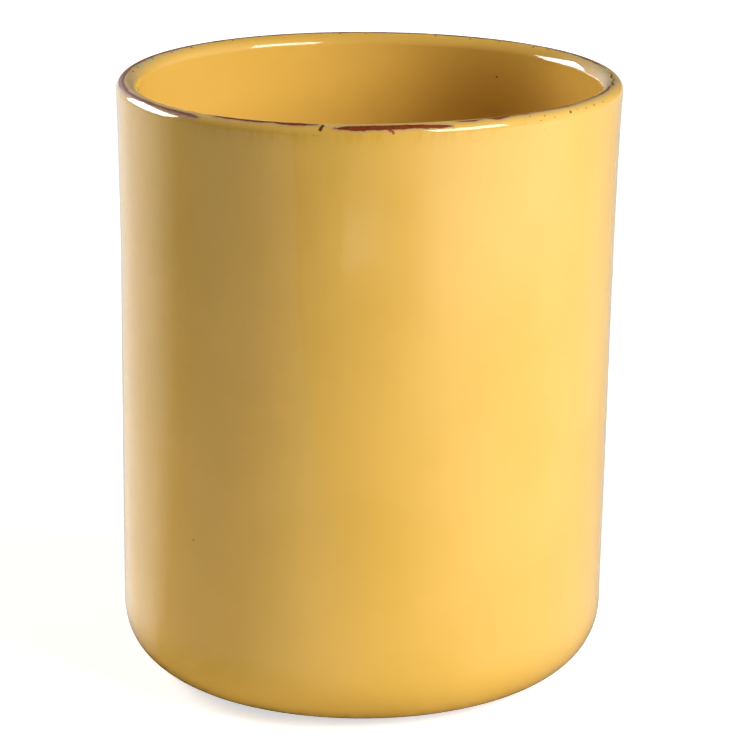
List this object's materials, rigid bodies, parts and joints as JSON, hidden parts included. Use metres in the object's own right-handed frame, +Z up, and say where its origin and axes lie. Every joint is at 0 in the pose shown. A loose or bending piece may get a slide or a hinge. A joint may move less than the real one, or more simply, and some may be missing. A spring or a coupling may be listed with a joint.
{
  "type": "canister",
  "caption": "Open, lidless round crock in glazed earthenware with a rounded lip, soft heel and bare foot ring, for kitchen tools or dry food.",
  "frame": {"origin": "on the table, under the middle of the foot ring", "axes": "+Z up along the axis of the vessel; -Y faces the viewer of the picture and +X is to that viewer's right"},
  "size_m": [0.14, 0.14, 0.17],
  "materials": {
    "terracotta": "matt, fired red-brown clay",
    "yellow_glaze": "glossy warm yellow glaze"
  },
  "bodies": {
    "root": {"clay_body": "terracotta", "outer_glaze": "yellow_glaze", "inner_glaze": "yellow_glaze", "base_glaze": "yellow_glaze"}
  },
  "joints": []
}
